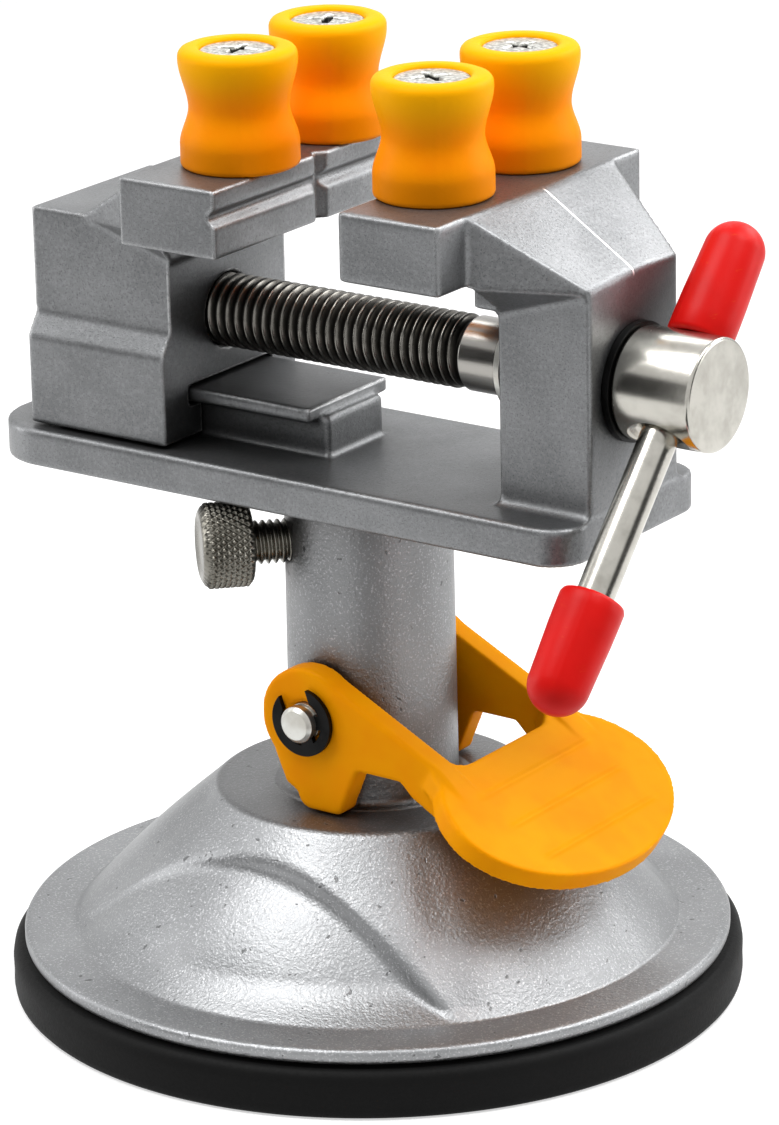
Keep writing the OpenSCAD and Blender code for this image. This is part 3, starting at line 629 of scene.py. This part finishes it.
# rod with rounded ends, the caps' depth longer than what shows at each end
def makeBar(h):
    low, high = -h["low"] - h["deep"], h["high"] + h["deep"]
    profile = rounded([[0.0, low], [h["bar"], low], [h["bar"], high], [0.0, high]], 0.3)
    bar = lathe("bar", profile, axisFrame(barMiddle, barAlong), "tommy_bar", 64)
    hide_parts("tommy_bar")


# caps by [radius, distance from the mouth]: the socket and its lip, the tapering side and a round end
def makeCaps(h):
    wide, end, socket = h["capRadius"], h["capRadius"] - 0.3, h["bar"] + 0.05
    mouth = [[0.0, h["deep"]], [socket, h["deep"]], [socket, 0.45], [h["bar"] + 0.4, 0.05], [wide - 0.65, 0.0],
             [wide - 0.2, 0.18], [wide, 0.65]]
    side = [[wide, 2.0], [wide - 0.05, 5.0], [wide - 0.2, 9.0]]
    side += [[end * math.cos(a), h["capLength"] - end + end * math.sin(a)]
             for a in np.linspace(0.1, math.pi / 2, 12)]
    # the seated cap's lip goes down into the hub's mouth
    seated = [[r, s - h["seat"] if s < 0.7 else s] for r, s in mouth]
    for name, node, start, along, profile in (("capUp", "cap_upper", h["high"], barAlong, seated + side),
                                              ("capDown", "cap_lower", h["low"], -barAlong, mouth + side)):
        cap = lathe(name, profile, axisFrame(barMiddle + start * along, along), node, 96, seam(*h["seam"]))
        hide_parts(node)


makeHub(handle)
makeBar(handle)
makeCaps(handle)
print("stage: handle made")

# thumb screw: a crossed knurl pressed into a turned head, on a short thread. The knurl's depth follows the nearer
# of two families of helices, teeth * angle / turn plus and minus their run along the head
thumb = {"angle": 225.0, "height": 63.0, "radius": 5.8, "from": 16.0, "to": 23.0, "thread": 3.0, "pitch": 1.0,
         "root": 0.55, "start": 8.0, "teeth": 34, "knurl": 0.512, "knurlSlope": 0.75, "groove": 0.62,
         "dish": 0.35, "overlap": 0.2, "perTurn": 10, "rings": 56, "headSteps": 288, "steps": 64}


def makeThumbScrew(t):
    a, wide, rootR = math.radians(t["angle"]), t["radius"], t["thread"] - t["root"]
    out = np.array([math.cos(a), math.sin(a), 0.0])
    axis = axisFrame(out * t["start"] + np.array([0, 0, t["height"]]), out)
    length, headFrom = t["to"] - t["from"], t["from"] - t["start"]
    profile = [[0.0, 0.0], [wide - 1.1, 0.0], [wide - 0.75, 0.1], [wide - 0.5, 0.25], [wide - 0.25, 0.5]]
    profile += [[wide, s] for s in np.linspace(0.75, length - 1.0, t["rings"])]
    profile += [[wide - 0.45, length - 0.55], [wide - 1.2, length - 0.1], [wide - 1.6, length],
                [wide - 2.6, length - t["dish"]], [0.0, length - t["dish"]]]

    def ridge(phase):
        return np.abs((phase % 1.0) - 0.5) * 2

    def knurled(radius, s, turn):
        run = s - headFrom
        u = t["teeth"] * turn / (2 * np.pi)
        v = run * t["teeth"] / (2 * np.pi * wide) * t["knurlSlope"]
        groove = np.clip(1 - np.minimum(ridge(u + v), ridge(u - v)) / t["groove"], 0, 1)
        where = np.clip((radius - wide + 0.9) / 0.9, 0, 1) * (run > 0.05) * (run < length - 0.25)
        return radius - t["knurl"] * groove * where, s
    profile = [[r, s + headFrom] for r, s in profile]
    head = lathe("thumbHead", profile, axis, "lock_screw", t["headSteps"], knurled, knurlSteel)
    s, phase, turn = helix(0, headFrom + t["overlap"], t["pitch"], t["perTurn"], t["steps"])
    radius = t["thread"] - t["root"] * np.clip(np.abs(phase - 0.5) * 2 * 1.3 - 0.2, 0, 1)
    faces = helixFaces(len(s), t["steps"], t["perTurn"])
    thread = piece("thumbThread", roundAxis(axis, radius, s, turn), faces, "lock_screw", knurlSteel)
    # the end is bored for the tip's pin
    profile = [[1.06, 2.1], [1.06, 0.0], [rootR, 0.0], [t["thread"] - t["root"] * 0.6, 0.1]]
    points = turned(profile, axis, t["steps"])
    end = piece("thumbTip", points, gridFaces(len(profile), t["steps"]), "lock_screw")
    made = close(join(head, [thread, end]))
    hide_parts("lock_screw")


makeThumbScrew(thumb)
print("stage: thumb screw made")

# rubber cup: a turned section, from the raised middle underneath over the standing rim to the boss on top
cup = {"radius": 50.0, "height": 7.0, "foot": 6.0, "rise": 5.0, "web": 1.4, "flange": 48.3, "seat": 38.4,
       "boss": 11.0, "bossTop": 16.0, "stem": 6.3, "stemTop": 13.1, "pocket": 8.1, "pocketFloor": 7.9,
       "steps": 180}


def makeCup(c):
    wide, foot, flange = c["radius"], c["radius"] - c["foot"], c["flange"]
    under = [[0.0, c["rise"]], [10.0, c["rise"]]]
    under += [[x, c["web"] + (c["rise"] - c["web"]) * (1 - (x - 10) / 31.0)] for x in (20.0, 30.0, 38.0)]
    under += [[foot - 3, c["web"]], [foot - 0.6, 0.1], [foot, 0.0]]
    rim = [[wide - 1.3, 0.0], [wide - 0.5, 0.15], [wide - 0.1, 0.6], [wide, 1.3], [wide - 0.05, 3.0], [wide, 4.6],
           [wide - 0.2, 5.7], [wide - 0.75, 6.35]]
    top = [[flange + 0.35, 6.6], [flange - 0.3, 6.45], [flange - 0.7, c["height"]], [c["seat"], c["height"]],
           [14.0, 9.0]]
    boss = [[c["boss"], 10.0], [c["boss"], c["bossTop"]], [c["stem"], c["bossTop"]], [c["stem"], c["stemTop"]],
            [c["pocket"], c["stemTop"]], [c["pocket"], c["pocketFloor"]], [0.0, c["pocketFloor"]]]
    axis = axisFrame((0, 0, 0), (0, 0, 1))
    cupPiece = lathe("cup", under + rim + top + boss, axis, "suction_cup", c["steps"])
    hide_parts("suction_cup")


makeCup(cup)
print("stage: cup made")

# base casting: radius over angle and height, r = least(cone + bulge, most(panel, arch plane)) - valleys, where
# valleys holds the depth of each one by its angle
base = {"flange": cup["flange"], "under": cup["height"], "seat": cup["seat"], "foot": 41.4, "plateau": 21.3,
        "low": 9.0, "high": 28.4, "archY": 25.2, "archZ": 24.4, "archLean": 6.0, "panelTop": 25.6,
        "panelZ": 21.4, "panelBelly": 1.6, "sink": 2.6, "sinkRise": 4.0,
        "valleys": {-138: 0.5, -40: 0.5, 42: 0.5, 140: 0.5, 3: 0.25, 183: 0.25}, "valleyWidth": 3.6,
        "bulge": 0.9, "post": 11.3, "draft": 0.2, "draftHeight": 38.0, "top": 69.3, "fillet": 1.0, "bore": 7.06,
        "screwAngle": 225.0, "screwHeight": 63.0, "screwHole": 3.06, "slotRadius": 2.8, "slotLow": 39.25,
        "slotHigh": 41.25, "steps": 288, "postSteps": 144, "rows": 110}


# the smaller of two arrays, with the corner between them rounded over a width
def softLeast(first, second, width):
    mid = np.clip(0.5 + 0.5 * (second - first) / width, 0, 1)
    return second + (first - second) * mid - width * mid * (1 - mid)


# share is 0 at the plateau and 1 at the foot
def coneRadius(b, turn, z):
    share = (b["high"] - z) / (b["high"] - b["low"])
    cone = b["plateau"] + (b["foot"] - b["plateau"]) * share
    # the panels are sunk more at one side than at the other
    uneven = np.clip(0.9 + 0.75 * ((turn % np.pi) - np.pi / 2), 0.2, 1.3)
    rise = np.clip((z - b["low"]) / b["sinkRise"], 0, 1)
    inset = b["sink"] * rise * (2 - rise) * uneven
    drop = (b["foot"] - b["sink"] - b["panelTop"]) / (b["panelZ"] - b["low"])
    belly = b["panelBelly"] * np.sin(np.pi * np.clip(share * 1.25 - 0.25, 0, 1)) * np.sin(turn) ** 2
    panel = b["foot"] - inset - drop * (z - b["low"]) + belly
    plane = b["archY"] + math.tan(math.radians(b["archLean"])) * (b["archZ"] - z)
    plane = np.minimum(plane / np.maximum(np.abs(np.sin(turn)), 0.02), 400)
    step = -softLeast(-panel, -plane, 1.0)
    bulge = b["bulge"] * np.sin(np.pi * share) * np.clip(np.abs(np.cos(turn)) * 1.6 - 0.75, 0, 1) ** 0.8
    radius = softLeast(cone + bulge, step, 0.4 + 1.0 * (1.3 - uneven))
    fade = np.clip(share / 0.10, 0, 1) * np.clip((1 - share) / 0.07, 0, 1)
    for angle, depth in b["valleys"].items():
        off = (turn - math.radians(angle) + np.pi) % (2 * np.pi) - np.pi
        side = radius * np.sin(np.clip(off, -1.2, 1.2))
        radius = radius - depth * np.exp(-(side / b["valleyWidth"]) ** 2) * fade * (np.abs(off) < 1.2)
    return radius


# round shell: the plateau's edge, the cone's side, the flange, the hollow underside and back along the plateau
def makeCone(b):
    turn = np.linspace(0, 2 * np.pi, b["steps"], endpoint=False)[None, :]
    z = np.linspace(b["high"], b["low"], b["rows"])[:, None]
    wide, low, high, under = b["flange"], b["low"], b["high"], b["under"]
    edge = [(b["plateau"] - 0.35, high - 0.03), (b["plateau"] - 0.05, high - 0.14)]
    flange = [(b["foot"] + 0.5, low - 0.01), (wide - 4.3, low), (wide - 1.4, low), (wide - 1.0, low),
              (wide - 0.5, low - 0.05), (wide - 0.2, low - 0.2), (wide, low - 0.5), (wide, under + 0.6),
              (wide - 0.15, under + 0.15), (wide - 0.4, under)]
    hollow = [(b["seat"], under), (b["seat"], under + 0.6), (24.0, 21.0), (12.0, 24.6), (6.5, 24.8), (6.5, 28.0),
              (6.5, high - 0.2)]
    inner = [(radius, high) for radius in (8.0, 14.0, 18.0, 20.4)]
    edge, rest = (np.array(part)[:, :, None] + 0.0 * turn for part in (edge, flange + hollow + inner))
    # the edge's two rings stand in for the first two of the side
    radius = np.concatenate([edge[:, 0], coneRadius(b, turn, z)[2:], rest[:, 0]])
    height = np.concatenate([edge[:, 1], z[2:] + 0.0 * turn, rest[:, 1]])
    points = np.stack([radius * np.cos(turn), radius * np.sin(turn), height], -1) * mm
    return close(piece("castBase", points, gridFaces(len(radius), b["steps"], True), "suction_base"))


# hollow post with a fillet at its foot, a hole for the thumb screw and a long slot for the lever's axle
def makePost(b):
    p, foot, top, fillet, draft = b["post"], b["high"] - 0.1, b["top"], b["fillet"], b["draft"]
    profile = [[b["bore"], foot], [p + draft + 2 * fillet, foot]]
    profile += [[p + draft + fillet * (1 - math.sin(t)), b["high"] + fillet * (1 - math.cos(t))]
                for t in np.linspace(0, math.pi / 2, 7)]
    profile += [[p + draft * (1 - t), b["high"] + fillet + t * b["draftHeight"]] for t in (0.25, 0.5, 0.75, 1.0)]
    profile += [[p, top - 0.6], [p - 0.15, top - 0.2], [p - 0.55, top], [b["bore"], top], [b["bore"], foot]]
    post = lathe("post", profile, axisFrame((0, 0, 0), (0, 0, 1)), "suction_base", b["postSteps"])
    a = math.radians(b["screwAngle"])
    cut = [[0.0, 3.0], [b["screwHole"], 3.0], [b["screwHole"], 15.0], [0.0, 15.0]]
    holeAxis = axisFrame((0, 0, b["screwHeight"]), (math.cos(a), math.sin(a), 0))
    carve(post, lathe("holeCutter", cut, holeAxis, "suction_base", 48))
    turn = np.linspace(0, 2 * np.pi, 48, endpoint=False)
    slotX = b["slotRadius"] * np.cos(turn)
    slotZ = b["slotRadius"] * np.sin(turn) + np.where(np.sin(turn) > 0, b["slotHigh"], b["slotLow"])
    middle = (b["slotLow"] + b["slotHigh"]) / 2
    rings = [np.stack([slotX * k, np.full(48, y), (slotZ - middle) * k + middle], -1)
             for y, k in ((-14.0, 0.0), (-14.0, 1.0), (14.0, 1.0), (14.0, 0.0))]
    carve(post, close(piece("slotCutter", np.stack(rings) * mm, gridFaces(4, 48), "suction_base")))
    return post


made = makeCone(base)
join(made, [makePost(base)])
smoothShaded(made)
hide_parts("suction_base")
print("stage: base cast")

# lever: moulded, with fine grip ridges across the paddle, height = ridge(distance down the paddle)
lever = {"fork": (21.5, 37.5), "tilt": 30.0, "ridges": (5.6, 11.4, 17.7), "ridgeWidth": 0.42,
         "ridgeHeight": 0.22, "half": 13.5}
# remeshed pieces: size of the cubes, rounds of smoothing, and for the head a box over the shallow groove in the
# fixed plate, since the photograph shows that face plain
castings = {"lever": {"cube": 0.3 * mm, "rounds": 8}, "jaw": {"cube": 0.35 * mm, "rounds": 4},
            "head": {"cube": 0.415 * mm, "rounds": 4, "fill": (13.0, -23.6, 109.0, 14.6, 23.6, 112.5)}}


def gripRidges(points):
    t = math.radians(lever["tilt"])
    x, z = points[:, 0] - lever["fork"][0], points[:, 2] - lever["fork"][1]
    down, above = x * math.cos(t) - z * math.sin(t), x * math.sin(t) + z * math.cos(t)
    rise = sum(np.exp(-((down - r) / lever["ridgeWidth"]) ** 2) for r in lever["ridges"])
    ends = np.clip((lever["half"] - np.abs(points[:, 1])) / 1.5, 0, 1)
    rise = lever["ridgeHeight"] * rise * ends * (above > -1.0)  # on the paddle's upper side only
    return points + np.stack([rise * math.sin(t), 0 * rise, rise * math.cos(t)], -1)


melted("lever", "cam_lever", **castings["lever"], change=gripRidges)
melted("castHead", "vise_head", **castings["head"])
melted("castJaw", "moving_jaw", **castings["jaw"])

# camera: solved from the photograph, angles in degrees, lengths in metres, lens and sensor in mm
view = {"azimuth": 35.54, "elevation": 18.68, "roll": -1.22, "distance": 0.70605,
        "target": (0.002156, 0.00154, 0.05892), "lens": 168.48, "sensor": 36.0, "clip": (0.01, 20.0)}


def makeCamera(v):
    a, e, roll = (math.radians(v[k]) for k in ("azimuth", "elevation", "roll"))
    back = np.array([math.sin(a) * math.cos(e), -math.cos(a) * math.cos(e), math.sin(e)])
    right = np.array([math.cos(a), math.sin(a), 0.0])
    upward = np.cross(back, right)
    matrix = np.eye(4)
    matrix[:3, 0] = right * math.cos(roll) + upward * math.sin(roll)
    matrix[:3, 1] = upward * math.cos(roll) - right * math.sin(roll)
    matrix[:3, 2] = back
    matrix[:3, 3] = np.array(v["target"]) + back * v["distance"]
    camera = bpy.data.objects.new("camera", bpy.data.cameras.new("camera"))
    scene.collection.objects.link(camera)
    camera.matrix_world = Matrix(matrix.tolist())
    camera.data.lens, camera.data.sensor_width = v["lens"], v["sensor"]
    camera.data.clip_start, camera.data.clip_end = v["clip"]
    scene.camera = camera


makeCamera(view)

# studio: grey levels of the world and the floor, and soft box lamps. A lamp stands at an azimuth and elevation
# in degrees, at a distance from the middle of what it lights, and aims at a point. Power is in watts
studio = {"sky": 0.26, "floor": 0.62, "lift": 0.54, "floorHalf": 4.0, "middle": (0, 0, 0.05)}
neck = (0.035, 0, 0.11)  # middle of the fixed jaw's sloping neck
lamps = {
    "topLeftLamp": {"at": (-40, 66, 0.75), "size": (0.40, 0.40), "power": 3.6},
    "topRightLamp": {"at": (106, 62, 0.75), "size": (0.36, 0.36), "power": 3.0},
    "rimLamp": {"at": (-143, 46, 0.75), "aim": (0, 0, 0.02), "size": (0.30, 0.12), "power": 0.5},
    "leftLamp": {"at": (-66, 14, 0.8), "size": (0.3, 0.5), "power": 1.6},
    "rightLamp": {"at": (134, 12, 0.8), "size": (0.3, 0.4), "power": 1.6},
    "slopeLamp": {"at": (160, 33, 0.26), "middle": neck, "aim": neck, "size": (0.16, 0.11), "power": 0.34},
}


def makeLamp(name, p):
    azimuth, elevation, away = p["at"]
    turn, up = math.radians(azimuth), math.radians(elevation)
    out = np.array([math.sin(turn) * math.cos(up), -math.cos(turn) * math.cos(up), math.sin(up)])
    place = Vector((np.array(p.get("middle", studio["middle"])) + away * out).tolist())
    light = bpy.data.lights.new(name, "AREA")
    light.shape = "RECTANGLE"
    light.size, light.size_y = p["size"]
    light.energy = p["power"]
    made = bpy.data.objects.new(name, light)
    scene.collection.objects.link(made)
    made.location = place
    made.rotation_euler = (Vector(p.get("aim", studio["middle"])) - place).to_track_quat("-Z", "Y").to_euler()


for name, settings in lamps.items():
    makeLamp(name, settings)

# dark cards seen only in polished metal: direction round the object, near and far edge as (distance, height) in
# metres, and width
cards = {
    "frontFlag": {"azimuth": -38, "near": (0.5, 0.005), "far": (0.5, 0.36), "width": 0.36},
    "backFlag": {"azimuth": 108, "near": (0.6, 0.02), "far": (0.6, 0.30), "width": 0.30},
    "floorFlag": {"azimuth": 36, "near": (0.10, 0.002), "far": (0.42, 0.002), "width": 0.12},
    "sideFlag": {"azimuth": 111, "near": (0.45, 0.002), "far": (1.40, 0.002), "width": 0.28},
}
flagBlack = Finish("flagBlack").set(Base_Color=shade(0.1, 0.1, 0.1), Roughness=0.9, Specular_IOR_Level=0.0)


# one flat face on its own
def sheet(name, corners, finish):
    made = bpy.data.objects.new(name, bpy.data.meshes.new(name))
    made.data.from_pydata([tuple(corner) for corner in corners], [], [(0, 1, 2, 3)])
    made.data.materials.append(finish)
    scene.collection.objects.link(made)
    return made


def makeCard(name, p):
    turn = math.radians(p["azimuth"])
    out = np.array([math.sin(turn), -math.cos(turn), 0.0])
    side = np.array([math.cos(turn), math.sin(turn), 0.0]) * p["width"] / 2
    near, far = (away * out + np.array([0.0, 0.0, height]) for away, height in (p["near"], p["far"]))
    made = sheet(name, (near - side, near + side, far + side, far - side), flagBlack)
    made.visible_camera = made.visible_diffuse = made.visible_shadow = made.visible_transmission = False


for name, settings in cards.items():
    makeCard(name, settings)


# the floor and the world look white to camera, glossy and transmission rays, and light the object at a plain
# level: 1 for those rays, 0 for all others
def seenBy(tree):
    path = tree.nodes.new("ShaderNodeLightPath")
    mask = path.outputs["Is Camera Ray"]
    for name in ("Is Glossy Ray", "Is Transmission Ray"):
        most = tree.nodes.new("ShaderNodeMath")
        most.operation = "MAXIMUM"
        tree.links.new(mask, most.inputs[0])
        tree.links.new(path.outputs[name], most.inputs[1])
        mask = most.outputs[0]
    return mask


def grey(level):
    return (level, level, level, 1)


def floorFinish(plain, lift):
    f = Finish("paleFloor")
    seen = Wire(f, seenBy(f.material.node_tree))
    mottle = f.noise(6.0, 2.0)
    return f.set(Base_Color=f.mix(mottle, grey(plain), grey(plain + 0.02)), Roughness=0.6, Specular_IOR_Level=0.0,
                 Emission_Color=f.mix(seen, grey(0), grey(lift)), Emission_Strength=1.0)


half = studio["floorHalf"]
corners = ((-half, -half, 0), (half, -half, 0), (half, half, 0), (-half, half, 0))
floor = sheet("floor", corners, floorFinish(studio["floor"], studio["lift"]))

world = bpy.data.worlds.new("studio")
world.use_nodes = True
scene.world = world
tree = world.node_tree
blend = tree.nodes.new("ShaderNodeMix")
blend.data_type = "RGBA"
tree.links.new(seenBy(tree), blend.inputs[0])
blend.inputs[6].default_value = grey(studio["sky"])
blend.inputs[7].default_value = grey(1)
tree.links.new(blend.outputs[2], tree.nodes["Background"].inputs["Color"])
scene.view_settings.view_transform = "Standard"
print("stage: studio lit")

print("stage: done")
